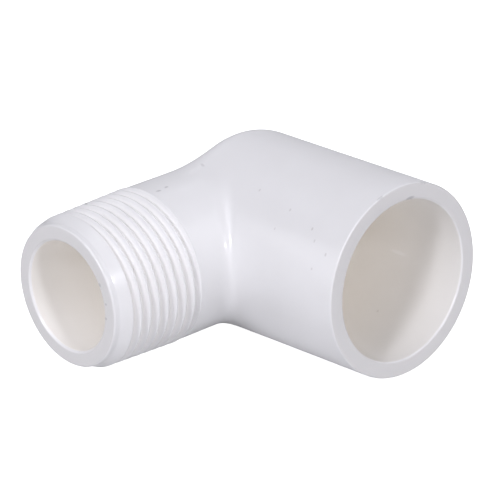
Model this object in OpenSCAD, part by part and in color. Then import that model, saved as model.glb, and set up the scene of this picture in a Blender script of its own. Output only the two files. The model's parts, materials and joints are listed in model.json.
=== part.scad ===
// 3/4 inch PVC street elbow, 90 degrees: slip socket on one leg, taper pipe thread on the other.
// Millimetres. The origin is the centre of the socket's mouth, +X points out of the socket,
// the threaded leg points along -Y, and +Z is square to both legs.
// The fitting is one moulding. Its three regions are modelled as solids that meet face to face.

/* [Pipe] */
// Outside diameter of the pipe that the socket takes
pipe_od = 26.67; // [18:0.01:34]
// Gap between the pipe and the socket wall, on the radius
socket_clearance = 0.1; // [0.05:0.01:0.4]

/* [Socket leg] */
// Depth of the socket, from the mouth to the pipe stop
socket_depth = 25.5; // [16:0.5:35]
// Thickness of the socket wall at the mouth
socket_wall = 2.765; // [1.5:0.005:6]
// How much the outer radius grows from the mouth to the bend, for the mould's draft
socket_draft = 0.25; // [0:0.01:1]
// Depth of the lead-in inside the mouth
lead_in = 0.4; // [0.1:0.1:1]
// Size of the broken edge outside the mouth
rim_edge = 0.3; // [0.1:0.1:1]

/* [Bend] */
// Gap along the socket leg between the threaded leg's waterway and the pipe stop
stop_land = 1.3; // [0.5:0.1:6]
// Width of the stop ledge that the pipe's end rests against
stop_width = 1.4; // [0.5:0.1:3]
// Thickness of the wall at the back of the bend
heel_wall = 2.8; // [1.5:0.1:5]
// How far the domed end of the socket leg runs past the crossing of the axes
dome_length = 9; // [4:0.5:14]
// Distance over which the two legs are blended where they meet
blend = 2; // [0.5:0.1:4]
// Straight length left on each leg beside the blend in the inner corner
corner_land = 0.4; // [0.1:0.1:4]

/* [Threaded leg] */
// Outside diameter of the plain neck between the bend and the thread
neck_od = 26.2; // [20:0.1:32]
// Length of the plain neck, from the end of the bend to the thread
neck_length = 3.85; // [1:0.05:12]
// Diameter of the waterway at the end of the nose
bore_d = 18.4; // [10:0.1:22]
// Size of the broken edge where the waterway leaves the nose
bore_edge = 0.4; // [0.1:0.1:1.5]
// Diameter over the thread's crests at the nose end of the thread
crest_d = 25.6; // [22:0.1:30]
// Distance from one thread crest to the next
pitch = 1.814; // [1:0.001:3]
// Depth of the thread, on the radius
thread_depth = 1.2; // [0.5:0.05:1.8]
// Length of the thread, without the nose
thread_length = 14.3; // [8:0.1:20]
// Angle about the thread's axis at which the groove starts, from +X towards +Z
thread_turn = 165; // [0:5:355]
// Change of diameter over length, 1 in 16 on a taper pipe thread
taper = 0.0625; // [0:0.0005:0.1]
// Diameter of the plain nose in front of the thread
nose_d = 23.8; // [18:0.1:25]
// Length of the plain nose
nose_length = 1.1; // [0.5:0.1:3]
// Length of the cone that leads from the plain nose up to the first crest
lead_cone = 1.9; // [0.5:0.1:4]
// How much fuller the lead cone is on the side where the groove starts
lead_swell = 0.45; // [0:0.05:0.6]
// Size of the broken edge outside the end of the nose
nose_edge = 0.45; // [0.1:0.05:0.8]

/* [Hidden] */
$fn = 96;

pvc_white = [0.93, 0.935, 0.955];
overcut = 1;                                      // how far a cut runs past the face that it opens

// Both legs, on their axes and measured from where the axes cross
neck_r = neck_od / 2;
socket_r = pipe_od / 2 + socket_clearance;        // inside the socket
mouth_r = socket_r + socket_wall;                 // outside the mouth
stop_r = socket_r - stop_width;                   // the waterway behind the pipe stop
bore_r = bore_d / 2;
stop_x = bore_r + stop_land;                      // the pipe stop
socket_reach = stop_x + socket_depth;             // the mouth
bend_x = neck_r + blend + corner_land;            // the end of the bend on the socket leg
knee_r = neck_r - heel_wall;                      // the round knee where the two waterways meet
nose_r = nose_d / 2;
function hub_r(x) = mouth_r + socket_draft * (socket_reach - x) / socket_reach;
neck_y = hub_r(0) + blend + corner_land;          // the end of the bend on the threaded leg
thread_end = neck_y + neck_length;                // the end of the thread beside the neck
thread_start = thread_end + thread_length;
cone_start = thread_start + lead_cone;
thread_reach = cone_start + nose_length;          // the end of the nose

// Bend: rings of points, each in a half plane through the inner corner of the bend
rings = 29;
ring_points = 60;
halvings = 20;                                    // steps of the search for the surface along a ray
search = 2.2 * mouth_r;                           // longer than any ray inside the bend
corner = [bend_x, -neck_y, 0];

// Thread: four helical edges a pitch, root end, crest start, crest end and root start
columns = 60;
flank = thread_depth * tan(30);                   // axial run of one flank of the 60 degree form
crest_flat = (pitch - 2 * flank) * 0.6;
root_flat = (pitch - 2 * flank) - crest_flat;
edges = [root_flat, root_flat + flank, root_flat + flank + crest_flat, pitch];
helix_rows = 4 * (ceil(thread_length / pitch) + 1);
end_rise = 1.6;                                   // how steeply the groove climbs out at each end

// ---- The outside of the bend, as a field that is negative inside it ----

function blended(a, b) = min(a, b) - pow(max(blend - abs(a - b), 0), 2) / (4 * blend);

// The socket leg: a drafted cylinder that ends in a dome
function leg_field(p) =
    let (r = norm([p.y, p.z]), past = max(-p.x, 0) / dome_length, hub = hub_r(p.x))
    p.x > 0 ? r - hub : (norm([past, r / hub]) - 1) * dome_length;

// The threaded leg: a cylinder whose end is drawn out to the far side of the socket leg
function neck_field(p) = norm([p.x, max(p.y, 0) * neck_r / hub_r(0), p.z]) - neck_r;

function bend_field(p) = blended(leg_field(p), neck_field(p));

function surface_at(start, along, low, high, steps) =
    let (middle = (low + high) / 2)
    steps == 0 ? start + along * middle
    : bend_field(start + along * middle) < 0 ? surface_at(start, along, middle, high, steps - 1)
    : surface_at(start, along, low, middle, steps - 1);

function ring_axis(turn) = [-sin(turn), cos(turn), 0];
function ring_centre(turn) =
    corner + ring_axis(turn) * (neck_y * pow(cos(turn), 2) + bend_x * pow(sin(turn), 2));

bend_points = [
    for (i = [0:rings - 1]) let (turn = 90 * i / (rings - 1))
        for (j = [0:ring_points - 1]) let (around = 360 * j / ring_points)
            surface_at(ring_centre(turn), ring_axis(turn) * cos(around) + [0, 0, sin(around)],
                       0, search, halvings)
];

// ---- The outside of the threaded leg ----

function crest_r(y) = (crest_d + taper * (thread_start - y)) / 2;

// Radius at y on the helical edge of the given kind: 0 and 3 are the root, 1 and 2 the crest
function edge_r(y, kind) =
    let (crest = crest_r(y),
         wanted = (kind == 1 || kind == 2) ? crest : crest - thread_depth,
         run_in = crest - (thread_start - y) * end_rise,
         run_out = neck_r - (y - thread_end) * end_rise)
    max(wanted, run_in, run_out);

function helix_y(row, column) =
    thread_start - floor(row / 4) * pitch - edges[row % 4] + pitch * column / columns;

function around_y(y, r, column) =
    let (turn = thread_turn + 360 * column / columns) [r * cos(turn), -y, r * sin(turn)];

// Plain rings from the nose to the neck, as [distance from the crossing of the axes, radius, swell]
plain_rings = [
    [thread_reach, nose_r - nose_edge, 0],
    [thread_reach - nose_edge, nose_r, 0],
    [cone_start, nose_r, 0],
    [thread_start + lead_cone * 0.8, nose_r + (crest_r(thread_start) - nose_r) * 0.2, lead_swell],
    [thread_start, crest_r(thread_start), 0],
    [thread_end, neck_r, 0],
    [neck_y, neck_r, 0]
];
nose_rings = 5;                                   // how many of them lie in front of the thread
ring_count = len(plain_rings);
function swollen(ring, column) = ring[1] + ring[2] * max(cos(360 * column / columns), 0);
spigot_points = [
    for (ring = plain_rings) for (j = [0:columns - 1]) around_y(ring[0], swollen(ring, j), j),
    for (row = [0:helix_rows - 1]) for (j = [0:columns - 1])
        let (y = min(max(helix_y(row, j), thread_end), thread_start))
        around_y(y, edge_r(y, row % 4), j)
];

// An edge that has left the thread joins the plain ring there, and a full turn moves back by four edges
function helix_index(row, column) =
    column == columns ? helix_index(row - 4, 0)
    : row < 0 || helix_y(row, column) >= thread_start ? (nose_rings - 1) * columns + column
    : row >= helix_rows || helix_y(row, column) <= thread_end ? nose_rings * columns + column
    : (ring_count + row) * columns + column;

function ring_index(ring, column) = ring * columns + column % columns;

function two_triangles(a, b, c, d) =
    [for (t = [[a, b, c], [a, c, d]]) if (t[0] != t[1] && t[1] != t[2] && t[2] != t[0]) t];

spigot_faces = [
    [for (j = [0:columns - 1]) ring_index(0, j)],
    [for (j = [columns - 1:-1:0]) ring_index(ring_count - 1, j)],
    for (i = [0:ring_count - 2], j = [0:columns - 1]) if (i != nose_rings - 1)
        each two_triangles(ring_index(i, j), ring_index(i + 1, j),
                           ring_index(i + 1, j + 1), ring_index(i, j + 1)),
    for (row = [-1:helix_rows - 1], j = [0:columns - 1])
        each two_triangles(helix_index(row, j), helix_index(row + 1, j),
                           helix_index(row + 1, j + 1), helix_index(row, j + 1))
];

// ---- Shared shapes ----

module from_crossing() { translate([-socket_reach, 0, 0]) children(); }

module along_x(from, to, r_from, r_to) {
    translate([from, 0, 0]) rotate([0, 90, 0]) cylinder(h = to - from, r1 = r_from, r2 = r_to);
}

module along_thread(from, to, r_from, r_to) {
    translate([0, -from, 0]) rotate([90, 0, 0]) cylinder(h = to - from, r1 = r_from, r2 = r_to);
}

// A tube of quads between rings of points, closed at both ends
module ring_tube(points, ring_count, per_ring) {
    polyhedron(points = points, faces = [
        [for (j = [0:per_ring - 1]) j],
        [for (j = [per_ring - 1:-1:0]) (ring_count - 1) * per_ring + j],
        for (i = [0:ring_count - 2], j = [0:per_ring - 1])
            let (a = i * per_ring + j, b = i * per_ring + (j + 1) % per_ring)
            each [[a, a + per_ring, b], [b, a + per_ring, b + per_ring]]
    ]);
}

// ---- Sub-parts ----

module slip_socket() {
    color(pvc_white) from_crossing() difference() {
        union() {
            along_x(bend_x, socket_reach - rim_edge, hub_r(bend_x), hub_r(socket_reach - rim_edge));
            along_x(socket_reach - rim_edge, socket_reach, hub_r(socket_reach - rim_edge),
                    mouth_r - rim_edge);
        }
        along_x(bend_x - overcut, socket_reach + overcut, socket_r, socket_r);
        along_x(socket_reach - lead_in, socket_reach + overcut, socket_r, socket_r + lead_in + overcut);
    }
}

module elbow_bend() {
    color(pvc_white) from_crossing() difference() {
        ring_tube(bend_points, rings, ring_points);
        along_x(stop_x, bend_x + overcut, socket_r, socket_r);
        along_x(0, stop_x + overcut, knee_r, stop_r);
        sphere(r = knee_r);
        along_thread(0, neck_y + overcut, bore_r, bore_r);
    }
}

module threaded_spigot() {
    color(pvc_white) from_crossing() difference() {
        polyhedron(points = spigot_points, faces = spigot_faces);
        along_thread(neck_y - overcut, thread_reach + overcut, bore_r, bore_r);
        along_thread(thread_reach - bore_edge, thread_reach + overcut, bore_r, bore_r + bore_edge + overcut);
    }
}

slip_socket();
elbow_bend();
threaded_spigot();
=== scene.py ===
"""A 3/4 inch PVC street elbow: a slip socket on one leg and a taper pipe thread on the other.

The fitting is one white moulding. Its three regions, the socket hub, the bend and the threaded
leg, meet face to face on planes where the outside is a plain cylinder, so no seam shows.
Lengths are metres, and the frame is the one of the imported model: the origin is the centre of the
socket's mouth, +X points out of the socket, and the threaded leg points along -Y.
"""

import json
import logging
import math
from contextlib import contextmanager
from dataclasses import dataclass, field
from enum import Enum
from typing import Callable, Iterator, Sequence, Union

import bmesh
import bpy
import numpy as np
from mathutils import Matrix, Vector


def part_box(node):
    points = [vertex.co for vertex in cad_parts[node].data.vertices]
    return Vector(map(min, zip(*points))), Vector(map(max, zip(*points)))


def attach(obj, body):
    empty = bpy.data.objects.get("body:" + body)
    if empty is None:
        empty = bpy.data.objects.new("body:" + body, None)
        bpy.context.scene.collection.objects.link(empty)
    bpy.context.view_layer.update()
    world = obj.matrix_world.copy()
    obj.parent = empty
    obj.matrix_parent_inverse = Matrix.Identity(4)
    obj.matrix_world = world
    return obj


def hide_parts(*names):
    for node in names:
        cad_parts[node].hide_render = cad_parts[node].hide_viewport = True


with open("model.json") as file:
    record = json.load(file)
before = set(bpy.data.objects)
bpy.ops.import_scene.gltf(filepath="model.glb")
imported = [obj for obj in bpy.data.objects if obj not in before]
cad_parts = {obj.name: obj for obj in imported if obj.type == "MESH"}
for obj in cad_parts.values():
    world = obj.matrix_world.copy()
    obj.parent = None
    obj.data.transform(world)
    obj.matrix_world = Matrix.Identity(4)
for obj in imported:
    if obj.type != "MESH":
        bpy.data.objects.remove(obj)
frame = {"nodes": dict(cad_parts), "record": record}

LOG = logging.getLogger("street_elbow")

Colour = tuple[float, float, float]
Piece = bpy.types.Object
Feed = Union[bpy.types.NodeSocket, float, tuple, Vector]  # what goes into a node
Socket = bpy.types.NodeSocket
Sockets = bpy.types.NodeOutputs

MM = 0.001
COLUMNS = 192  # columns of faces round each leg, the same on all three pieces, so that their borders match
MERGE = 1e-6  # points nearer than this are one point
ON_RING = 1e-5  # a point this near to a ring's place lies on it


class Parts(Enum):
    """The kind of element that is picked in edit mode."""

    POINTS = "VERT"
    EDGES = "EDGE"
    FACES = "FACE"


class Slot(Enum):
    """The record's material slots, one for each region of the moulding."""

    SOCKET = "pvc_socket"
    BEND = "pvc_bend"
    THREAD = "pvc_thread"


# ---- Modelling by hand: small steps shared by the pieces ----


def leave_all() -> None:
    """Goes back to object mode with nothing selected."""
    if bpy.context.object and bpy.context.object.mode != "OBJECT":
        bpy.ops.object.mode_set(mode="OBJECT")
    bpy.ops.object.select_all(action="DESELECT")


def take(piece: Piece) -> None:
    """Makes a piece the only one selected, and the active one."""
    leave_all()
    piece.select_set(True)
    bpy.context.view_layer.objects.active = piece


@contextmanager
def editing(piece: Piece, parts: Parts) -> Iterator[None]:
    """Opens a piece in edit mode with nothing picked, and leaves edit mode at the end.

    Args:
        piece: the mesh object to shape.
        parts: the kind of element that is picked.
    """
    take(piece)
    bpy.ops.object.mode_set(mode="EDIT")
    bpy.ops.mesh.select_mode(type=parts.value)
    bpy.ops.mesh.select_all(action="DESELECT")
    yield
    bpy.ops.object.mode_set(mode="OBJECT")


def pick(piece: Piece, parts: Parts, wanted: Callable[..., bool]) -> None:
    """Picks elements of a piece that is open in edit mode, by a test in code.

    Args:
        piece: the mesh object, in edit mode.
        parts: the kind of element that the test is given.
        wanted: says whether an element is picked.
    """
    sculpt = bmesh.from_edit_mesh(piece.data)
    groups = {Parts.POINTS: sculpt.verts, Parts.EDGES: sculpt.edges, Parts.FACES: sculpt.faces}
    bpy.ops.mesh.select_all(action="DESELECT")
    for element in groups[parts]:
        if wanted(element):
            element.select_set(True)
    sculpt.select_flush_mode()
    bmesh.update_edit_mesh(piece.data)


def pick_all() -> None:
    """Picks every element of the piece that is open in edit mode."""
    bpy.ops.mesh.select_all(action="SELECT")


def spin(steps: int, angle: float, centre: Vector, axis: tuple, merge: bool = False) -> None:
    """Spins what is picked about an axis through a centre, and merges the seam if asked."""
    bpy.ops.mesh.spin(steps=steps, angle=angle, center=centre, axis=axis, use_auto_merge=merge)


def round_off(offset: float, segments: int, affect: str) -> None:
    """Rounds the picked corners ("VERTICES") or edges ("EDGES") in a number of segments."""
    bpy.ops.mesh.bevel(
        offset=offset, offset_type="OFFSET", segments=segments, profile=0.5, affect=affect
    )


def draw_chain(start: Sequence[float], steps: Sequence[Sequence[float]]) -> None:
    """Shrinks a plane that is open in edit mode to one point and draws a chain of edges from it.

    Args:
        start: where the chain starts, from the plane's centre.
        steps: the edges, one after the other.
    """
    pick_all()
    bpy.ops.mesh.merge(type="CENTER")
    pick_all()
    bpy.ops.transform.translate(value=start)
    for step in steps:
        bpy.ops.mesh.extrude_region_move(TRANSFORM_OT_translate={"value": step})


def add_primitive(kind: str, name: str, settled: bool = True, **sizes: object) -> Piece:
    """Adds a primitive with nothing else selected.

    Args:
        kind: the kind of primitive, as its operator names it.
        name: its name.
        settled: whether its place and turn go into its mesh.
        sizes: the operator's own settings.

    Returns:
        The new object.
    """
    leave_all()
    getattr(bpy.ops.mesh, f"primitive_{kind}_add")(**sizes)
    piece = bpy.context.object
    piece.name = piece.data.name = name
    if settled:
        settle_transform(piece)
    return piece


def modify(piece: Piece, kind: str, **settings: object) -> None:
    """Adds a modifier with its settings to a piece and applies it."""
    take(piece)
    bpy.ops.object.modifier_add(type=kind)
    modifier = piece.modifiers[-1]
    for name, value in settings.items():
        setattr(modifier, name, value)
    bpy.ops.object.modifier_apply(modifier=modifier.name)


def settle_transform(piece: Piece) -> None:
    """Puts a piece's place, turn and scale into its mesh."""
    take(piece)
    bpy.ops.object.transform_apply(location=True, rotation=True, scale=True)


def points_of(piece: Piece, origin: Vector) -> np.ndarray:
    """The piece's vertices measured from an origin, one row each."""
    flat = np.empty(len(piece.data.vertices) * 3)
    piece.data.vertices.foreach_get("co", flat)
    return flat.reshape(-1, 3) - np.array(origin)


def move_points(piece: Piece, points: np.ndarray, origin: Vector) -> None:
    """Gives the piece's vertices new places, measured from an origin."""
    piece.data.vertices.foreach_set("co", (points + np.array(origin)).astype(np.float32).ravel())
    piece.data.update()


def close_and_turn_out(piece: Piece) -> None:
    """Merges doubled points and points every face outwards."""
    with editing(piece, Parts.POINTS):
        pick_all()
        bpy.ops.mesh.remove_doubles(threshold=MERGE)
        bpy.ops.mesh.dissolve_degenerate(threshold=MERGE)
        pick_all()
        bpy.ops.mesh.normals_make_consistent(inside=False)


def smooth(piece: Piece, sharpest: float) -> None:
    """Shades a piece smooth up to an angle, with the normals led by its larger faces.

    Args:
        piece: the finished mesh object.
        sharpest: the largest angle that is still shaded smooth, in degrees.
    """
    take(piece)
    bpy.ops.object.shade_smooth_by_angle(angle=math.radians(sharpest))
    modify(piece, "WEIGHTED_NORMAL", keep_sharp=True, weight=60)


def report(piece: Piece) -> None:
    """Logs a piece's size, face count and open edges."""
    sculpt = bmesh.new()
    sculpt.from_mesh(piece.data)
    loose = sum(1 for e in sculpt.edges if not e.is_manifold)
    volume = sculpt.calc_volume(signed=True)
    triangles = sum(len(f.verts) - 2 for f in sculpt.faces)
    sculpt.free()
    LOG.info("%s: %d triangles, %d open edges, %.0f mm3", piece.name, triangles, loose, volume / MM**3)


# ---- The fitting's sizes ----


@dataclass(frozen=True)
class Fitting:
    """Sizes shared by the three pieces, measured from the crossing of the two axes.

    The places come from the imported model's own boxes, and the wall and thread sizes are the fitting's.
    """

    crossing: Vector
    bend_x: float
    stop_x: float
    mouth_x: float
    neck_y: float
    nose_y: float
    hub_r_mouth: float
    socket_r: float
    hub_draft: float = 0.25 * MM
    neck_r: float = 13.1 * MM
    stop_r: float = 12.035 * MM
    knee_r: float = 10.3 * MM
    bore_r: float = 9.2 * MM

    @classmethod
    def from_frame(cls) -> "Fitting":
        """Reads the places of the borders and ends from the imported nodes.

        Returns:
            The fitting's shared sizes.
        """
        mounts = {mount["name"]: mount for mount in frame["record"]["mounts"]}
        pipe = mounts["slip_socket"]["dims"]
        socket_low, socket_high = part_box("slip_socket")
        leg_low, leg_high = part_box("threaded_spigot")
        centre = mounts["male_thread"]["pos_m"][0]
        mouth = socket_high.x - centre
        bend = socket_low.x - centre
        return cls(
            crossing=Vector((centre, 0.0, 0.0)),
            bend_x=bend,
            stop_x=mouth - pipe["length_mm"] * MM - SocketHub.lead_in,
            mouth_x=mouth,
            neck_y=-leg_high.y,
            nose_y=-leg_low.y,
            hub_r_mouth=socket_high.y - cls.hub_draft * (mouth - bend) / mouth,
            socket_r=pipe["r_mm"] * MM,
        )

    def hub_r(self, along: float | np.ndarray) -> float | np.ndarray:
        """Outside radius of the hub at a distance along its axis from the crossing."""
        return self.hub_r_mouth + self.hub_draft * (self.mouth_x - along) / self.mouth_x


# ---- The three pieces of the moulding ----


@dataclass
class SocketHub:
    """The slip socket: a drafted tube with a trimmed rim, an eased outer edge and a lead-in."""

    fitting: Fitting
    rim_edge: float = 0.3 * MM
    lead_in: float = 0.4 * MM

    def build(self) -> Piece:
        """Draws the wall's cross-section, eases its corners at the mouth and spins it round.

        Returns:
            The finished hub.
        """
        f = self.fitting
        length = f.mouth_x - f.bend_x
        wall = f.hub_r_mouth - f.socket_r
        middle = f.crossing + Vector((f.bend_x + length / 2, f.socket_r + wall / 2, 0.0))
        piece = add_primitive("plane", "socket_hub", settled=False, size=1.0, location=middle)
        piece.scale = (length, wall, 1.0)
        settle_transform(piece)
        mouth = f.crossing.x + f.mouth_x
        with editing(piece, Parts.POINTS):
            pick_all()
            bpy.ops.mesh.delete(type="ONLY_FACE")
            self._widen_for_draft(piece)
            for offset, segments, corner in (
                (self.rim_edge, 4, lambda v: v.co.x > mouth - MM and v.co.y > f.socket_r + MM),
                (self.lead_in, 3, lambda v: v.co.x > mouth - MM and v.co.y < f.socket_r + MERGE),
            ):
                pick(piece, Parts.POINTS, corner)
                round_off(offset, segments, "VERTICES")
            pick_all()
            spin(COLUMNS, math.tau, f.crossing, (1.0, 0.0, 0.0), merge=True)
            pick_all()
            bpy.ops.mesh.remove_doubles(threshold=MERGE)
        close_and_turn_out(piece)
        smooth(piece, 34)
        return piece

    def _widen_for_draft(self, piece: Piece) -> None:
        """Moves the outer corner beside the bend outwards by the mould's draft."""
        f = self.fitting
        border = f.crossing.x + f.bend_x
        pick(piece, Parts.POINTS, lambda v: v.co.x < border + MM and v.co.y > f.socket_r + MM)
        bpy.ops.transform.translate(value=(0.0, f.hub_r(f.bend_x) - f.hub_r_mouth, 0.0))


@dataclass
class Bend:
    """The bend: the hub's domed end with the neck drawn out of it, and the waterway turning inside."""

    fitting: Fitting
    dome_length: float = 9.0 * MM
    blend: float = 2.0 * MM
    steps: int = 80
    knee_steps: int = 24
    halvings: int = 34
    overcut: float = 1.0 * MM

    def build(self) -> Piece:
        """Spins a disc through the quarter turn, settles it on the moulding's shape and cuts the waterway.

        Returns:
            The finished bend.
        """
        f = self.fitting
        piece = add_primitive(
            "circle",
            "elbow_knee",
            vertices=COLUMNS,
            radius=f.hub_r(f.bend_x),
            fill_type="NGON",
            location=f.crossing + Vector((f.bend_x, 0.0, 0.0)),
            rotation=(0.0, math.pi / 2, 0.0),
        )
        corner = f.crossing + Vector((f.bend_x, -f.neck_y, 0.0))
        with editing(piece, Parts.FACES):
            pick_all()
            spin(self.steps, -math.pi / 2, corner, (0.0, 0.0, 1.0))
        self._settle(piece)
        close_and_turn_out(piece)
        for cutter in (self._socket_cutter(), self._bore_cutter()):
            self._cut(piece, cutter)
        close_and_turn_out(piece)
        smooth(piece, 40)
        return piece

    def _settle(self, piece: Piece) -> None:
        """Moves each point of the spun disc's edge along its own ray until it lies on the moulding."""
        f = self.fitting
        points = points_of(piece, f.crossing)
        corner = np.array((f.bend_x, -f.neck_y))
        flat = points[:, :2] - corner
        turn = np.arctan2(-flat[:, 0], flat[:, 1])
        around = np.arctan2(points[:, 2], np.hypot(flat[:, 0], flat[:, 1]) - f.neck_y)
        axis = np.stack((-np.sin(turn), np.cos(turn), np.zeros_like(turn)), axis=1)
        centre = axis * (f.neck_y * np.cos(turn) ** 2 + f.bend_x * np.sin(turn) ** 2)[:, None]
        centre[:, :2] += corner
        ray = axis * np.cos(around)[:, None] + np.array((0.0, 0.0, 1.0)) * np.sin(around)[:, None]
        low = np.zeros(len(points))
        high = np.full(len(points), 2.2 * f.hub_r_mouth)
        for _ in range(self.halvings):
            middle = (low + high) / 2
            inside = self._field(centre + ray * middle[:, None]) < 0
            low = np.where(inside, middle, low)
            high = np.where(inside, high, middle)
        move_points(piece, centre + ray * ((low + high) / 2)[:, None], f.crossing)

    def _field(self, p: np.ndarray) -> np.ndarray:
        """How far points lie outside the bend's outer surface, roughly, and negative within it.

        Args:
            p: points measured from the crossing of the axes, one row each.

        Returns:
            One value for each point.
        """
        f = self.fitting
        past = np.maximum(-p[:, 0], 0.0) / self.dome_length
        radius = np.hypot(p[:, 1], p[:, 2])
        hub = f.hub_r(p[:, 0])
        leg = np.where(p[:, 0] > 0, radius - hub, (np.hypot(past, radius / hub) - 1.0) * self.dome_length)
        drawn = np.maximum(p[:, 1], 0.0) * f.neck_r / f.hub_r(0.0)
        neck = np.sqrt(p[:, 0] ** 2 + drawn**2 + p[:, 2] ** 2) - f.neck_r
        near = np.maximum(self.blend - np.abs(leg - neck), 0.0)
        return np.minimum(leg, neck) - near**2 / (4 * self.blend)

    def _socket_cutter(self) -> Piece:
        """Turns the hollow of the socket, the stop ledge, the cone behind it and the round knee.

        Returns:
            A closed solid to be cut away.
        """
        f = self.fitting
        cutter = add_primitive("plane", "socket_cutter", size=MM, location=f.crossing)
        end = f.bend_x + self.overcut
        outline = [
            (0.0, f.socket_r, 0.0),
            (f.stop_x - end, 0.0, 0.0),
            (0.0, f.stop_r - f.socket_r, 0.0),
            (-f.stop_x, f.knee_r - f.stop_r, 0.0),
        ]
        with editing(cutter, Parts.POINTS):
            draw_chain((end, 0.0, 0.0), outline)
            spin(self.knee_steps, -math.pi / 2, f.crossing, (0.0, 0.0, 1.0))
            pick_all()
            spin(COLUMNS, math.tau, f.crossing, (1.0, 0.0, 0.0), merge=True)
        close_and_turn_out(cutter)
        return cutter

    def _bore_cutter(self) -> Piece:
        """Adds the round bore that runs down the threaded leg from the knee.

        Returns:
            A closed solid to be cut away.
        """
        f = self.fitting
        length = f.neck_y + self.overcut
        return add_primitive(
            "cylinder",
            "bore_cutter",
            vertices=COLUMNS,
            radius=f.bore_r,
            depth=length,
            location=f.crossing + Vector((0.0, -length / 2, 0.0)),
            rotation=(math.pi / 2, 0.0, 0.0),
        )

    @staticmethod
    def _cut(piece: Piece, cutter: Piece) -> None:
        """Cuts one solid out of a piece and takes the cutter away."""
        modify(piece, "BOOLEAN", operation="DIFFERENCE", solver="EXACT", object=cutter)
        bpy.data.objects.remove(cutter)


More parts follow.
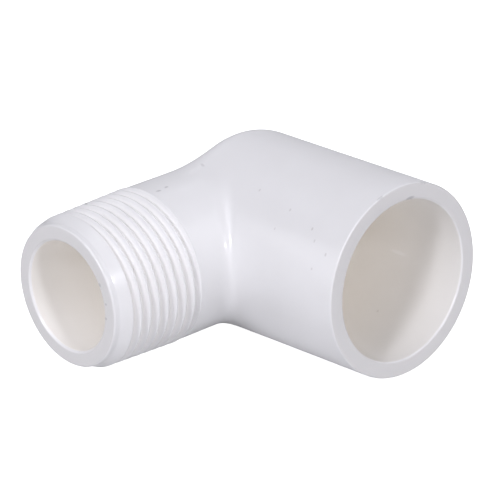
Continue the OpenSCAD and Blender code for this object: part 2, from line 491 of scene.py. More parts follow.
@dataclass
class ThreadedLeg:
    """The threaded leg: a plain neck, a right-hand taper thread, a lead cone and a plain nose."""

    fitting: Fitting
    pitch: float = 1.814 * MM
    depth: float = 1.2 * MM
    crest_r: float = 12.8 * MM
    taper: float = 1 / 16
    thread_length: float = 14.3 * MM
    start_turn: float = 165.0
    end_rise: float = 1.6
    nose_length: float = 1.1 * MM
    lead_cone: float = 1.9 * MM
    lead_swell: float = 0.45 * MM
    nose_r: float = 11.9 * MM
    nose_edge: float = 0.45 * MM
    bore_edge: float = 0.4 * MM
    tooth_rounding: float = 0.06 * MM
    spare_turns: int = 2
    thread_end: float = field(init=False)
    thread_start: float = field(init=False)
    swell_at: float = field(init=False)

    def __post_init__(self) -> None:
        """Works out where the thread lies on the leg."""
        self.thread_start = self.fitting.nose_y - self.nose_length - self.lead_cone
        self.thread_end = self.thread_start - self.thread_length
        self.swell_at = self.thread_start + self.lead_cone * 0.8

    def build(self) -> Piece:
        """Winds one tooth's outline into a thread, then draws the nose, bore and neck from its ends.

        Returns:
            The finished threaded leg.
        """
        piece = self._tooth()
        self._wind(piece)
        self._settle(piece)
        close_and_turn_out(piece)
        self._draw_nose_and_bore(piece)
        self._draw_neck(piece)
        close_and_turn_out(piece)
        self._round_edges(piece)
        smooth(piece, 40)
        return piece

    def _spoke(self, along: float, radius: float) -> Vector:
        """A point in the plane where the groove starts, from the crossing of the axes."""
        turn = math.radians(self.start_turn)
        return Vector((radius * math.cos(turn), -along, radius * math.sin(turn)))

    def _tooth(self) -> Piece:
        """Draws the outline of one pitch of the thread: half a root, a flank, a crest, a flank, half a root.

        Returns:
            A chain of edges whose object lies at the crossing of the axes.
        """
        flank = self.depth * math.tan(math.radians(30))
        crest = (self.pitch - 2 * flank) * 0.6
        root = self.pitch - 2 * flank - crest
        first = self.thread_start + self.spare_turns * self.pitch - root / 2
        steps = [(root / 2, 0.0), (flank, self.depth), (crest, 0.0), (flank, -self.depth), (root / 2, 0.0)]
        centre = self.fitting.crossing
        piece = add_primitive("plane", "threaded_leg", settled=False, size=MM, location=centre)
        with editing(piece, Parts.POINTS):
            start = self._spoke(first, self.crest_r - self.depth)
            draw_chain(start, [self._spoke(-back, out) for back, out in steps])
            pick(piece, Parts.POINTS, lambda v: len(v.link_edges) == 2)
            round_off(self.tooth_rounding, 2, "VERTICES")
        return piece

    def _wind(self, piece: Piece) -> None:
        """Winds the tooth's outline round the leg with a screw, longer than the thread at both ends."""
        modify(
            piece,
            "SCREW",
            axis="Y",
            angle=math.tau,
            steps=COLUMNS,
            render_steps=COLUMNS,
            screw_offset=self.pitch,
            iterations=math.ceil(self.thread_length / self.pitch) + 2 * self.spare_turns,
            use_merge_vertices=False,
        )
        settle_transform(piece)

    def _settle(self, piece: Piece) -> None:
        """Gives the wound thread its taper and blunt ends, and lays the spare turns on the end circles."""
        points = points_of(piece, self.fitting.crossing)
        radius = np.hypot(points[:, 0], points[:, 2])
        along = -points[:, 1]
        tapered = radius + self.taper / 2 * (self.thread_start - along)
        crest_here = self.crest_r + self.taper / 2 * (self.thread_start - along)
        run_in = crest_here - (self.thread_start - along) * self.end_rise
        run_out = self.fitting.neck_r - (along - self.thread_end) * self.end_rise
        shaped = np.maximum(np.maximum(tapered, run_in), run_out)
        shaped = np.where(along >= self.thread_start, self.crest_r, shaped)
        shaped = np.where(along <= self.thread_end, self.fitting.neck_r, shaped)
        column = math.tau / COLUMNS
        turn = np.round(np.arctan2(points[:, 2], points[:, 0]) / column) * column
        points[:, 0] = shaped * np.cos(turn)
        points[:, 1] = -np.clip(along, self.thread_end, self.thread_start)
        points[:, 2] = shaped * np.sin(turn)
        move_points(piece, points, self.fitting.crossing)

    def _circle_at(self, along: float) -> Callable[..., bool]:
        """A test for the open edges on the circle at a distance from the crossing."""
        return lambda e: e.is_boundary and all(abs(-v.co.y - along) < ON_RING for v in e.verts)

    def _draw(self, from_along: float, to_along: float, from_r: float, to_r: float) -> None:
        """Extrudes the picked circle to a new place and radius along the leg.

        Args:
            from_along: where the circle lies, from the crossing.
            to_along: where it goes.
            from_r: its radius.
            to_r: the new radius.
        """
        bpy.ops.mesh.extrude_region_move(TRANSFORM_OT_translate={"value": (0.0, from_along - to_along, 0.0)})
        scale = to_r / from_r
        bpy.ops.transform.resize(
            value=(scale, 1.0, scale), center_override=self.fitting.crossing + Vector((0.0, -to_along, 0.0))
        )

    def _draw_nose_and_bore(self, piece: Piece) -> None:
        """Draws the lead cone, nose, end face, bore edge and bore from the thread's first circle."""
        f = self.fitting
        cone_end = self.thread_start + self.lead_cone
        path = [
            (self.thread_start, self.crest_r),
            (self.swell_at, self.nose_r + (self.crest_r - self.nose_r) * 0.2),
            (cone_end, self.nose_r),
            (f.nose_y, self.nose_r),
            (f.nose_y, f.bore_r + self.bore_edge),
            (f.nose_y - self.bore_edge, f.bore_r),
            (f.neck_y, f.bore_r),
        ]
        with editing(piece, Parts.EDGES):
            pick(piece, Parts.EDGES, self._circle_at(self.thread_start))
            for (y0, r0), (y1, r1) in zip(path, path[1:]):
                self._draw(y0, y1, r0, r1)
        self._swell_cone(piece)

    def _swell_cone(self, piece: Piece) -> None:
        """Makes the lead cone fuller on the side where the groove starts."""
        points = points_of(piece, self.fitting.crossing)
        radius = np.hypot(points[:, 0], points[:, 2])
        turn = np.arctan2(points[:, 2], points[:, 0]) - math.radians(self.start_turn)
        on_ring = np.abs(-points[:, 1] - self.swell_at) < ON_RING
        grown = 1.0 + np.where(on_ring, self.lead_swell * np.maximum(np.cos(turn), 0.0) / radius, 0.0)
        points[:, 0] *= grown
        points[:, 2] *= grown
        move_points(piece, points, self.fitting.crossing)

    def _round_edges(self, piece: Piece) -> None:
        """Rounds the edges of the lead cone, the nose and the bore."""
        f = self.fitting
        with editing(piece, Parts.EDGES):
            self._round_circle(piece, f.nose_y, self.nose_r, self.nose_edge, 5)
            self._round_circle(piece, self.thread_start + self.lead_cone, self.nose_r, 0.12 * MM, 2)
            self._round_circle(piece, f.nose_y, f.bore_r + self.bore_edge, 0.1 * MM, 2)
            self._round_circle(piece, f.nose_y - self.bore_edge, f.bore_r, 0.1 * MM, 2)

    def _round_circle(
        self, piece: Piece, along: float, radius: float, offset: float, segments: int
    ) -> None:
        """Rounds the edge that lies on one circle of the leg.

        Args:
            piece: the threaded leg, in edit mode.
            along: the circle's distance from the crossing.
            radius: its radius.
            offset: how far the rounding reaches.
            segments: how many faces it is made of.
        """
        centre = self.fitting.crossing

        def on_circle(v: bmesh.types.BMVert) -> bool:
            """True for a point on the circle."""
            off_radius = abs(math.hypot(v.co.x - centre.x, v.co.z) - radius)
            return abs(-v.co.y - along) < ON_RING and off_radius < 2 * ON_RING

        pick(piece, Parts.EDGES, lambda e: all(on_circle(v) for v in e.verts))
        round_off(offset, segments, "EDGES")

    def _draw_neck(self, piece: Piece) -> None:
        """Draws the plain neck from the thread's last circle and closes the end that meets the bend."""
        f = self.fitting
        with editing(piece, Parts.EDGES):
            pick(piece, Parts.EDGES, self._circle_at(self.thread_end))
            self._draw(self.thread_end, f.neck_y, f.neck_r, f.neck_r)
            pick(piece, Parts.EDGES, self._circle_at(f.neck_y))
            bpy.ops.mesh.bridge_edge_loops()


# ---- Finish ----


class Leg(Enum):
    """The leg that a place on the moulding is measured along."""

    HUB = "along +X, and round it from the front towards the top"
    THREADED = "along -Y, and round it from +X towards the top"


@dataclass
class Bench:
    """Adds nodes to one tree and joins them."""

    tree: bpy.types.NodeTree

    def add(
        self, kind: str, inputs: dict[str | int, Feed] | None = None, **settings: object
    ) -> bpy.types.Node:
        """Adds a node.

        Args:
            kind: the node's type.
            inputs: what goes into its sockets, by name or number: another socket, or a plain value.
            settings: the node's own settings.

        Returns:
            The new node.
        """
        node = self.tree.nodes.new(kind)
        for name, value in settings.items():
            setattr(node, name, value)
        self.join(node, inputs or {})
        return node

    def number(self, operation: str, a: Feed, b: Feed = 0.0, c: Feed = 0.0) -> Socket:
        """One step of arithmetic on two or three numbers."""
        return self.add("ShaderNodeMath", {0: a, 1: b, 2: c}, operation=operation).outputs[0]

    def vector(self, operation: str, a: Feed, b: Feed) -> Socket:
        """One step of arithmetic on two vectors."""
        return self.add("ShaderNodeVectorMath", {0: a, 1: b}, operation=operation).outputs[0]

    def length(self, a: Feed) -> Socket:
        """The length of a vector."""
        return self.add("ShaderNodeVectorMath", {0: a}, operation="LENGTH").outputs["Value"]

    def along(self, a: Feed, axis: str) -> Socket:
        """A vector's share along one axis: "X", "Y" or "Z"."""
        return self.add("ShaderNodeSeparateXYZ", {0: a}).outputs[axis]

    def group(self, group: "SharedGroup", inputs: dict[str, Feed]) -> Sockets:
        """Places a shared group with its own values, and gives its outputs."""
        return self.add("ShaderNodeGroup", inputs, node_tree=group.tree()).outputs

    def step(self, value: Feed, low: float, high: float) -> Socket:
        """Eases from 0 at the low value to 1 at the high one."""
        inputs = {"Value": value, "From Min": low, "From Max": high}
        return self.add("ShaderNodeMapRange", inputs, interpolation_type="SMOOTHSTEP").outputs[0]

    def noise(self, place: Feed, scale: float, detail: float) -> Socket:
        """Cloudy noise between 0 and 1."""
        inputs = {"Vector": place, "Scale": scale, "Detail": detail}
        return self.add("ShaderNodeTexNoise", inputs).outputs[0]

    def blend(self, amount: Feed, a: Feed, b: Feed) -> Socket:
        """Blends two colours, which a mix node holds in its sockets 6 and 7."""
        return self.add("ShaderNodeMix", {0: amount, 6: a, 7: b}, data_type="RGBA").outputs[2]

    def join(self, target: bpy.types.Node, inputs: dict[str, Feed]) -> None:
        """Feeds the sockets of a node that is already there.

        Args:
            target: the node.
            inputs: what goes into its sockets, by name: another socket, or a plain value.
        """
        for name, value in inputs.items():
            if isinstance(value, Socket):
                self.tree.links.new(value, target.inputs[name])
            else:
                target.inputs[name].default_value = value


class SharedGroup:
    """A shader group that is made once and used by every finish."""

    NAME: str
    INPUTS: dict[str, str]
    OUTPUTS: dict[str, str]

    def tree(self) -> bpy.types.NodeTree:
        """Finds the group, or makes it with its sockets and has its inside drawn.

        Returns:
            The group's node tree.
        """
        found = bpy.data.node_groups.get(self.NAME)
        if found:
            return found
        tree = bpy.data.node_groups.new(self.NAME, "ShaderNodeTree")
        for direction, sockets in (("INPUT", self.INPUTS), ("OUTPUT", self.OUTPUTS)):
            for socket, kind in sockets.items():
                tree.interface.new_socket(name=socket, in_out=direction, socket_type="NodeSocket" + kind)
        bench = Bench(tree)
        into = tree.nodes.new("NodeGroupInput")
        out = tree.nodes.new("NodeGroupOutput")
        for socket, value in self.draw(bench, into.outputs).items():
            tree.links.new(value, out.inputs[socket])
        return tree

    def draw(self, bench: Bench, given: Sockets) -> dict[str, Socket]:
        """Draws the inside of the group.

        Args:
            bench: adds nodes to the group.
            given: the group's inputs, by name.

        Returns:
            The socket for each output.
        """
        raise NotImplementedError


class SurfaceGroup(SharedGroup):
    """The skin of the moulding: slight mottle, flow marks from the gate, fine specks and orange peel."""

    NAME = "pvc_surface"
    INPUTS = {"Place": "Vector", "Outside": "Color", "Inside": "Color", "Hollow": "Float", "Matte": "Float"}
    OUTPUTS = {"Color": "Color", "Roughness": "Float", "Height": "Float"}
    MOTTLE_SCALE = 95.0
    FLOW_SCALES = (60.0, 140.0, 140.0)  # drawn out along the hub
    PEEL_SCALE = 900.0
    SPECK_SCALE = 520.0
    SPECK_SHARE = 0.012
    SPECK_SIZE = 0.11
    MOTTLE, MOTTLE_TONE = 0.05, (0.45, 0.42, 0.4, 1.0)
    FLOW, FLOW_TONE = 0.03, (0.5, 0.48, 0.47, 1.0)
    SPECK, SPECK_TONE = 0.14, (0.3, 0.27, 0.25, 1.0)
    GLOSSY, UNEVEN, MATTE_EXTRA = 0.27, 0.03, 0.22  # shares of the roughness

    def draw(self, bench: Bench, given: Sockets) -> dict[str, Socket]:
        """Draws the tone, the roughness and the height of the skin."""
        place = given["Place"]
        mottle = bench.noise(place, self.MOTTLE_SCALE, 3.0)
        flow = bench.noise(bench.vector("MULTIPLY", place, self.FLOW_SCALES), 1.0, 1.0)
        peel = bench.noise(place, self.PEEL_SCALE, 2.0)
        cells = bench.add("ShaderNodeTexVoronoi", {"Vector": place, "Scale": self.SPECK_SCALE})
        chosen = bench.add("ShaderNodeSeparateColor", {0: cells.outputs["Color"]}).outputs[0]
        rare = bench.number("LESS_THAN", chosen, self.SPECK_SHARE)
        near = bench.number("LESS_THAN", cells.outputs["Distance"], self.SPECK_SIZE)
        speck = bench.number("MULTIPLY", rare, near)
        # the warmer Inside tone in the hollow is painted warm shade
        base = bench.blend(given["Hollow"], given["Outside"], given["Inside"])
        deeper = bench.blend(self.MOTTLE, base, self.MOTTLE_TONE)
        cloudy = bench.blend(bench.step(mottle, 0.2, 0.8), base, deeper)
        streak = bench.blend(self.FLOW, cloudy, self.FLOW_TONE)
        streaked = bench.blend(bench.step(flow, 0.3, 0.8), cloudy, streak)
        dusty = bench.blend(self.SPECK, streaked, self.SPECK_TONE)
        skin = bench.number("MULTIPLY_ADD", bench.step(mottle, 0.15, 0.85), self.UNEVEN, self.GLOSSY)
        grain = bench.number("MULTIPLY_ADD", bench.step(flow, 0.2, 0.8), self.UNEVEN, skin)
        rough = bench.number("MULTIPLY_ADD", given["Matte"], self.MATTE_EXTRA, grain)
        height = bench.number("MULTIPLY_ADD", peel, 0.45, bench.number("MULTIPLY", flow, 0.5))
        return {"Color": bench.blend(speck, streaked, dusty), "Roughness": rough, "Height": height}


class SpotGroup(SharedGroup):
    """One small ragged spot: a nick, a speck, a scuff or a painted highlight."""

    NAME = "wear_spot"
    INPUTS = {"Place": "Vector", "Centre": "Vector", "Reach": "Vector", "Ragged": "Float"}
    OUTPUTS = {"Mask": "Float"}
    TEAR_SCALE = 2600.0
    EDGE = (0.55, 1.15)  # where the spot starts to fade and where it is gone, in units of its reach

    def draw(self, bench: Bench, given: Sockets) -> dict[str, Socket]:
        """Draws a soft ellipsoid whose edge is broken up by noise."""
        offset = bench.vector("SUBTRACT", given["Place"], given["Centre"])
        reach = bench.length(bench.vector("DIVIDE", offset, given["Reach"]))
        cloud = bench.number("SUBTRACT", bench.noise(given["Place"], self.TEAR_SCALE, 2.0), 0.5)
        torn = bench.number("ADD", reach, bench.number("MULTIPLY", cloud, given["Ragged"]))
        return {"Mask": bench.number("SUBTRACT", 1.0, bench.step(torn, *self.EDGE))}


class GrooveGroup(SharedGroup):
    """How deep a place lies in the thread's groove: 0 on the crests and 1 at the root."""

    NAME = "thread_groove"
    INPUTS = {"Place": "Vector", "Centre": "Vector", "Crest": "Float", "Depth": "Float", "Taper": "Float"}
    OUTPUTS = {"Depth": "Float"}

    def draw(self, bench: Bench, given: Sockets) -> dict[str, Socket]:
        """Compares the distance from the leg's axis with the tapered crest."""
        offset = bench.vector("SUBTRACT", given["Place"], given["Centre"])
        radius = bench.length(bench.vector("MULTIPLY", offset, (1.0, 0.0, 1.0)))
        widened = bench.number("MULTIPLY", bench.along(offset, "Y"), given["Taper"])
        crest = bench.number("ADD", given["Crest"], widened)
        sunk = bench.number("DIVIDE", bench.number("SUBTRACT", crest, radius), given["Depth"])
        return {"Depth": bench.step(sunk, 0.1, 0.85)}


@dataclass(frozen=True)
class Mark:
    """A small mark left by the mould or by handling, or a small painted highlight.

    along and radius are millimetres from the crossing and from the leg's axis, and around is in
    degrees. size is the mark's length along the leg and its width across, and thickness is how deep
    it reaches, all in millimetres.
    """

    leg: Leg
    along: float
    around: float
    radius: float
    size: tuple[float, float]
    strength: float
    tone: Colour
    ragged: float = 0.6
    thickness: float = 0.5

    def centre(self, crossing: Vector) -> Vector:
        """Where the mark lies."""
        turn = math.radians(self.around)
        if self.leg is Leg.HUB:
            offset = (self.along, -self.radius * math.cos(turn), self.radius * math.sin(turn))
        else:
            offset = (self.radius * math.cos(turn), -self.along, self.radius * math.sin(turn))
        return crossing + Vector(offset) * MM

    def reach(self) -> Vector:
        """Half the mark's size along each axis."""
        along, across, thick = (side / 2 * MM for side in (*self.size, self.thickness))
        turn = math.radians(self.around)
        sine, cosine = abs(math.sin(turn)), abs(math.cos(turn))
        flat, upright = across * sine + thick * cosine, across * cosine + thick * sine
        return Vector((along, flat, upright)) if self.leg is Leg.HUB else Vector((flat, along, upright))


DUST = (0.3, 0.27, 0.25)
GREY_NICK = (0.36, 0.35, 0.36)
# pale tone of a painted highlight: the lamp's reflected streak on the socket wall
PAINTED_STREAK_HIGHLIGHT = (0.97, 0.97, 0.98)

HUB_MARKS = (
    Mark(Leg.HUB, 35.8, 108.0, 16.05, (0.4, 2.6), 0.5, GREY_NICK, 1.0, 0.4),
    Mark(Leg.HUB, 35.8, 74.0, 16.05, (0.4, 1.6), 0.4, GREY_NICK, 1.0, 0.4),
    Mark(Leg.HUB, 35.85, 98.0, 13.75, (0.8, 2.2), 0.8, GREY_NICK, 0.4, 0.35),
    Mark(Leg.HUB, 28.3, 41.0, 16.3, (0.4, 0.4), 0.35, DUST),
    Mark(Leg.HUB, 29.8, 35.0, 16.3, (0.35, 0.5), 0.3, DUST),
    Mark(Leg.HUB, 33.0, 30.0, 16.2, (0.45, 0.4), 0.35, DUST),
    Mark(Leg.HUB, 31.0, 20.0, 16.2, (0.4, 0.35), 0.3, DUST),
    Mark(Leg.HUB, 22.1, 47.0, 16.3, (0.4, 0.4), 0.3, DUST),
    Mark(Leg.HUB, 20.9, 34.0, 16.3, (0.35, 0.4), 0.25, DUST),
    Mark(Leg.HUB, 22.5, -122.0, 13.43, (0.5, 0.4), 0.22, DUST),
    # painted highlight: a pale streak along the socket wall where a lamp's reflection lies
    Mark(Leg.HUB, 21.8, -167.0, 13.43, (4.0, 0.6), 0.6, PAINTED_STREAK_HIGHLIGHT, 0.5),
)
BEND_MARKS = (
    Mark(Leg.HUB, 13.9, 52.0, 16.35, (0.4, 0.4), 0.3, DUST),
    Mark(Leg.THREADED, 9.9, 90.0, 13.6, (0.5, 1.2), 0.3, GREY_NICK, 1.0, 1.6),
)
LEG_MARKS = (
    Mark(Leg.THREADED, 21.1, 82.0, 13.1, (1.1, 0.5), 0.6, GREY_NICK, 1.0),
    Mark(Leg.THREADED, 19.1, 83.0, 13.1, (1.4, 0.45), 0.55, GREY_NICK, 1.0),
    Mark(Leg.THREADED, 30.6, 114.0, 12.74, (0.5, 0.9), 0.6, GREY_NICK),
    Mark(Leg.THREADED, 40.0, 27.0, 9.8, (0.4, 0.5), 0.55, GREY_NICK),
    Mark(Leg.THREADED, 40.0, 8.5, 10.1, (0.4, 0.4), 0.45, GREY_NICK),
    Mark(Leg.THREADED, 40.0, -6.0, 9.8, (0.4, 0.5), 0.5, GREY_NICK),
)


@dataclass(frozen=True)
class MouldedPvc:
    """The white PVC of one region of the moulding: cool white outside, and inside a slightly warmer tone
    that is painted warm shade.

    glow is painted: an emission in place of the light that comes through the wall. The mouth_loss share
    of it is gone at the mouth, and none is gone glow_reach further in. The bore gets the bore_glow share.
    """

    slot: Slot
    fitting: Fitting
    marks: tuple[Mark, ...]
    outside: Colour = (0.868, 0.866, 0.872)
    # inside: a slightly warmer tone, painted warm shade in the hollow
    inside: Colour = (0.868, 0.862, 0.85)
    # groove: a lighter tone painted into the thread's grooves, painted light that lifts the shade there
    groove: Colour = (0.905, 0.903, 0.908)
    # trimmed: the cut end faces, duller, and darker also as painted shade where less light falls on them
    trimmed: Colour = (0.745, 0.735, 0.73)
    # colour of the painted glow, an emission standing in for light through the wall
    painted_glow_tint: Colour = (1.0, 0.84, 0.66)
    glow: float = 0.085
    glow_reach: float = 22.0 * MM
    mouth_loss: float = 0.85
    bore_glow: float = 0.85
    # painted glow in the thread's grooves, which lifts the shade there
    painted_groove_glow: float = 0.05
    mark_share: float = 0.75
    mark_depth: float = 3.0
    bump: float = 0.12
    bump_height: float = 0.02 * MM
    ior: float = 1.53
    coat: float = 0.35
    coat_roughness: float = 0.14

    def material(self) -> bpy.types.Material:
        """Builds the region's material.

        Returns:
            A node material.
        """
        material = bpy.data.materials.new(self.slot.value + "_finish")
        material.use_nodes = True
        bench = Bench(material.node_tree)
        place = bench.add("ShaderNodeTexCoord").outputs["Object"]
        hollow, cut = self._hollow(bench, place), self._trimmed(bench, place)
        tones = {"Outside": (*self.outside, 1.0), "Inside": (*self.inside, 1.0)}
        skin = bench.group(SurfaceGroup(), {"Place": place, **tones, "Hollow": hollow, "Matte": cut})
        # end faces darkened: partly their duller cut surface, partly painted shade
        colour = bench.blend(cut, skin["Color"], (*self.trimmed, 1.0))
        # painted glow: emission inside the hollow that stands in for light through the wall
        glow = self._glow(bench, place, hollow)
        # the thread's grooves get a lighter tone and a painted glow, painted light that lifts their shade
        if self.slot is Slot.THREAD:
            grooves = self._grooves(bench, place)
            colour = bench.blend(grooves, colour, (*self.groove, 1.0))
            glow = bench.number("ADD", glow, bench.number("MULTIPLY", grooves, self.painted_groove_glow))
        height = skin["Height"]
        for mark in self.marks:
            faint = bench.number("MULTIPLY", self._spot(bench, place, mark), mark.strength * self.mark_share)
            colour = bench.blend(faint, colour, (*mark.tone, 1.0))
            height = bench.number("SUBTRACT", height, bench.number("MULTIPLY", faint, self.mark_depth))
        relief = {"Strength": self.bump, "Distance": self.bump_height, "Height": height}
        # the emission is painted light: the glow inside the hollow and in the thread's grooves
        bench.join(
            material.node_tree.nodes["Principled BSDF"],
            {
                "Base Color": colour,
                "Roughness": skin["Roughness"],
                "Normal": bench.add("ShaderNodeBump", relief).outputs[0],
                "Emission Color": bench.blend(glow, (0.0, 0.0, 0.0, 1.0), (*self.painted_glow_tint, 1.0)),
                "Emission Strength": 1.0,
                "IOR": self.ior,
                "Coat Weight": self.coat,
                "Coat Roughness": self.coat_roughness,
            },
        )
        return material

    def _spot(self, bench: Bench, place: Socket, mark: Mark) -> Socket:
        """Adds the mask of one mark."""
        centre = mark.centre(self.fitting.crossing)
        inputs = {"Place": place, "Centre": centre, "Reach": mark.reach(), "Ragged": mark.ragged}
        return bench.group(SpotGroup(), inputs)["Mask"]

    def _grooves(self, bench: Bench, place: Socket) -> Socket:
        """Adds the mask of the thread's groove, only along the thread and only outside."""
        leg = ThreadedLeg(self.fitting)
        inputs = {
            "Place": place,
            "Centre": self.fitting.crossing - Vector((0.0, leg.thread_start, 0.0)),
            "Crest": leg.crest_r,
            "Depth": leg.depth,
            "Taper": leg.taper / 2,
        }
        groove = bench.group(GrooveGroup(), inputs)["Depth"]
        along = bench.number("MULTIPLY", bench.along(place, "Y"), -1.0)
        past_neck = bench.step(along, leg.thread_end, leg.thread_end + MM)
        past_start = bench.step(along, leg.thread_start, leg.thread_start + MM)
        threaded = bench.number("MULTIPLY", past_neck, bench.number("SUBTRACT", 1.0, past_start))
        radius = self._radius(bench, place, Leg.THREADED)
        outside = bench.number("GREATER_THAN", radius, leg.crest_r - 2 * leg.depth)
        return bench.number("MULTIPLY", bench.number("MULTIPLY", threaded, outside), groove)

    def _radius(self, bench: Bench, place: Socket, leg: Leg) -> Socket:
        """Adds the distance from a leg's axis."""
        offset = bench.vector("SUBTRACT", place, self.fitting.crossing)
        keep = (0.0, 1.0, 1.0) if leg is Leg.HUB else (1.0, 0.0, 1.0)
        return bench.length(bench.vector("MULTIPLY", offset, keep))

    def _hollow(self, bench: Bench, place: Socket) -> Socket:
        """Adds the mask of the inside: the socket and its cone, the round knee, and the bore."""
        f = self.fitting
        skin = 0.05 * MM
        in_socket = bench.number("LESS_THAN", self._radius(bench, place, Leg.HUB), f.socket_r + skin)
        in_bore = bench.number("LESS_THAN", self._radius(bench, place, Leg.THREADED), f.bore_r + skin)
        if self.slot is Slot.SOCKET:
            return in_socket
        if self.slot is Slot.THREAD:
            return in_bore
        offset = bench.vector("SUBTRACT", place, f.crossing)
        towards_mouth = bench.number("GREATER_THAN", bench.along(offset, "X"), -skin)
        towards_nose = bench.number("LESS_THAN", bench.along(offset, "Y"), skin)
        in_knee = bench.number("LESS_THAN", bench.length(offset), f.knee_r + skin)
        socket_end = bench.number("MULTIPLY", in_socket, towards_mouth)
        bore_end = bench.number("MULTIPLY", in_bore, towards_nose)
        return bench.number("MAXIMUM", in_knee, bench.number("MAXIMUM", socket_end, bore_end))

    def _glow(self, bench: Bench, place: Socket, hollow: Socket) -> Socket:
        """Adds the painted glow: emission in place of the daylight through the thin wall, strongest deep
        inside the socket.
        """
        if self.slot is Slot.THREAD:
            return bench.number("MULTIPLY", hollow, self.glow * self.bore_glow)
        mouth = self.fitting.crossing.x + self.fitting.mouth_x
        near_mouth = bench.step(bench.along(place, "X"), mouth - self.glow_reach, mouth)
        deep = bench.number("SUBTRACT", 1.0, bench.number("MULTIPLY", near_mouth, self.mouth_loss))
        return bench.number("MULTIPLY", bench.number("MULTIPLY", deep, hollow), self.glow)

    def _trimmed(self, bench: Bench, place: Socket) -> Feed:
        """Adds the mask of the flat end face, which is duller than the moulded skin and darker partly as
        painted shade.
        """
        f = self.fitting
        if self.slot is Slot.BEND:
            return 0.0
        if self.slot is Slot.SOCKET:
            edge, along = f.crossing.x + f.mouth_x, bench.along(place, "X")
        else:
            edge, along = f.nose_y, bench.number("MULTIPLY", bench.along(place, "Y"), -1.0)
        return bench.step(along, edge - 0.12 * MM, edge - 0.02 * MM)


# ---- Studio ----


def direction(azimuth: float, elevation: float) -> Vector:
    """Points away from the fitting by two angles in radians: round from -Y towards +X, and up."""
    flat = math.cos(elevation)
    return Vector((math.sin(azimuth) * flat, -math.cos(azimuth) * flat, math.sin(elevation)))


@dataclass(frozen=True)
class Softlight:
    """A soft lamp so far away that it lights the whole fitting evenly.

    azimuth, elevation and spread are in degrees: azimuth 0 stands in front, on the -Y side, and 90 on
    +X. The spread is how wide the lamp looks from the fitting.
    """

    name: str
    azimuth: float
    elevation: float
    spread: float
    power: float
    colour: Colour = (0.955, 0.95, 1.0)

    def place(self, aim: Vector) -> None:
        """Hangs the lamp and turns it to the fitting.

        Args:
            aim: the point that it faces.
        """
        lamp = bpy.data.lights.new(self.name, "SUN")
        lamp.angle = math.radians(self.spread)
        lamp.energy = self.power
        lamp.color = self.colour
        stand = bpy.data.objects.new(self.name, lamp)
        away = direction(math.radians(self.azimuth), math.radians(self.elevation))
        stand.location = aim + away
        stand.rotation_mode = "QUATERNION"
        stand.rotation_quaternion = (-away).to_track_quat("-Z", "Y")
        bpy.context.scene.collection.objects.link(stand)


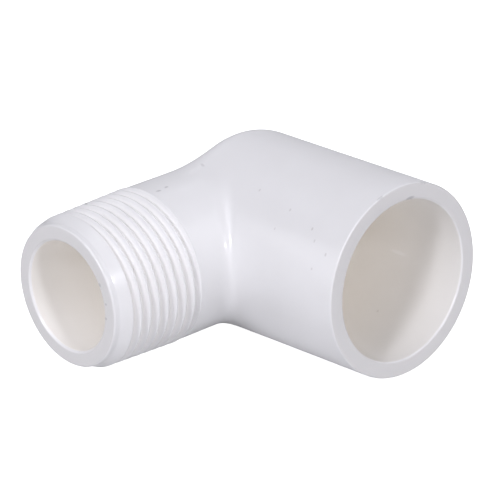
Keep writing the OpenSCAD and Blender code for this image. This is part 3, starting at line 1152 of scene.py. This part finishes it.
@dataclass
class Studio:
    """The pale floor, the soft lamps, the surroundings and the camera."""

    fitting: Fitting
    ambient: float = 0.02
    lights: tuple[Softlight, ...] = (
        Softlight("key_light", 18.0, 33.0, 10.0, 1.04),
        Softlight("broad_front_light", 45.0, 35.0, 38.0, 0.14),
        Softlight("overhead_light", 0.0, 62.0, 38.0, 0.74, (0.93, 0.925, 1.0)),
        Softlight("mouth_light", 82.0, 27.0, 6.0, 0.74),
        Softlight("leg_light", 125.0, 35.0, 38.0, 0.42),
        Softlight("neck_glint", 128.0, 12.0, 4.0, 0.1),
        Softlight("low_front_light", 45.0, 8.0, 38.0, 0.47),
        Softlight("nose_light", -45.0, 8.0, 38.0, 0.45),
        Softlight("back_light", 180.0, 48.0, 60.0, 0.4, (0.93, 0.925, 1.0)),
        Softlight("heel_light", 225.0, 20.0, 60.0, 0.5),
        Softlight("thread_light", 270.0, 35.0, 38.0, 0.12),
    )

    def build(self) -> None:
        """Sets up the floor, lamps, surroundings and camera."""
        self._floor()
        self._surroundings()
        for light in self.lights:
            light.place(self.fitting.crossing)
        self._camera()
        bpy.context.scene.view_settings.view_transform = "Standard"

    def _floor(self) -> None:
        """Lays a wide pale floor under the fitting, which the camera sees as clean white paper."""
        lowest = min(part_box(node)[0].z for node in frame["nodes"])
        floor = add_primitive("plane", "studio_floor", size=6.0, location=(0.0, 0.0, lowest))
        paper = bpy.data.materials.new("floor_paper")
        paper.use_nodes = True
        bench = Bench(paper.node_tree)
        place = bench.add("ShaderNodeTexCoord").outputs["Object"]
        fibre = bench.step(bench.noise(place, 40.0, 4.0), 0.3, 0.7)
        tone = bench.blend(fibre, (0.74, 0.74, 0.74, 1.0), (0.77, 0.77, 0.77, 1.0))
        seen = bench.add("ShaderNodeLightPath").outputs["Is Camera Ray"]
        bench.join(
            paper.node_tree.nodes["Principled BSDF"],
            {
                "Base Color": tone,
                "Emission Color": (1.0, 1.0, 1.0, 1.0),
                "Emission Strength": seen,
                "Roughness": 1.0,
                "Specular IOR Level": 0.1,
            },
        )
        floor.data.materials.append(paper)

    def _surroundings(self) -> None:
        """Leaves a little light all round, with white behind the floor for the camera."""
        world = bpy.data.worlds.new("studio_air")
        bpy.context.scene.world = world
        world.use_nodes = True
        bench = Bench(world.node_tree)
        seen = bench.add("ShaderNodeLightPath").outputs["Is Camera Ray"]
        strength = bench.number("MAXIMUM", seen, self.ambient)
        bench.join(
            world.node_tree.nodes["Background"], {"Color": (1.0, 1.0, 1.0, 1.0), "Strength": strength}
        )

    def _camera(self) -> None:
        """Stands the camera in front of the inner corner, a little above and far off with a long lens."""
        azimuth, elevation, roll = (math.radians(angle) for angle in (48.373, 22.213, -2.773))
        distance, aside, down = 0.50326, -0.101 * MM, -4.051 * MM
        back = direction(azimuth, elevation)
        right = (-back).cross(Vector((0.0, 0.0, 1.0))).normalized()
        up = right.cross(-back)
        right, up = (
            right * math.cos(roll) + up * math.sin(roll),
            up * math.cos(roll) - right * math.sin(roll),
        )
        place = self.fitting.crossing + back * distance + right * aside + up * down
        camera = bpy.data.cameras.new("studio_camera")
        camera.lens = 216.46
        camera.sensor_width = 36.0
        camera.clip_start, camera.clip_end = 0.01, 20.0
        stand = bpy.data.objects.new("studio_camera", camera)
        turn = Matrix((right, up, back)).transposed().to_4x4()
        stand.matrix_world = Matrix.Translation(place) @ turn
        bpy.context.scene.collection.objects.link(stand)
        bpy.context.scene.camera = stand


# ---- The whole fitting ----


@dataclass
class StreetElbow:
    """The moulding: its three regions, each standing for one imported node."""

    fitting: Fitting

    def build(self) -> None:
        """Builds, dresses and registers the three pieces."""
        regions = (
            (SocketHub, "slip_socket", Slot.SOCKET, HUB_MARKS),
            (Bend, "elbow_bend", Slot.BEND, BEND_MARKS),
            (ThreadedLeg, "threaded_spigot", Slot.THREAD, LEG_MARKS),
        )
        for region, node, slot, marks in regions:
            piece = region(self.fitting).build()
            finish = MouldedPvc(slot, self.fitting, marks)
            piece.data.materials.clear()
            piece.data.materials.append(finish.material())
            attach(piece, "root")
            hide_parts(node)
            report(piece)


def main() -> None:
    """Builds the fitting and its studio."""
    logging.basicConfig(level=logging.INFO, format="%(name)s: %(message)s")
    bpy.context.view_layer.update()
    fitting = Fitting.from_frame()
    StreetElbow(fitting).build()
    Studio(fitting).build()


if __name__ == "__main__":
    main()
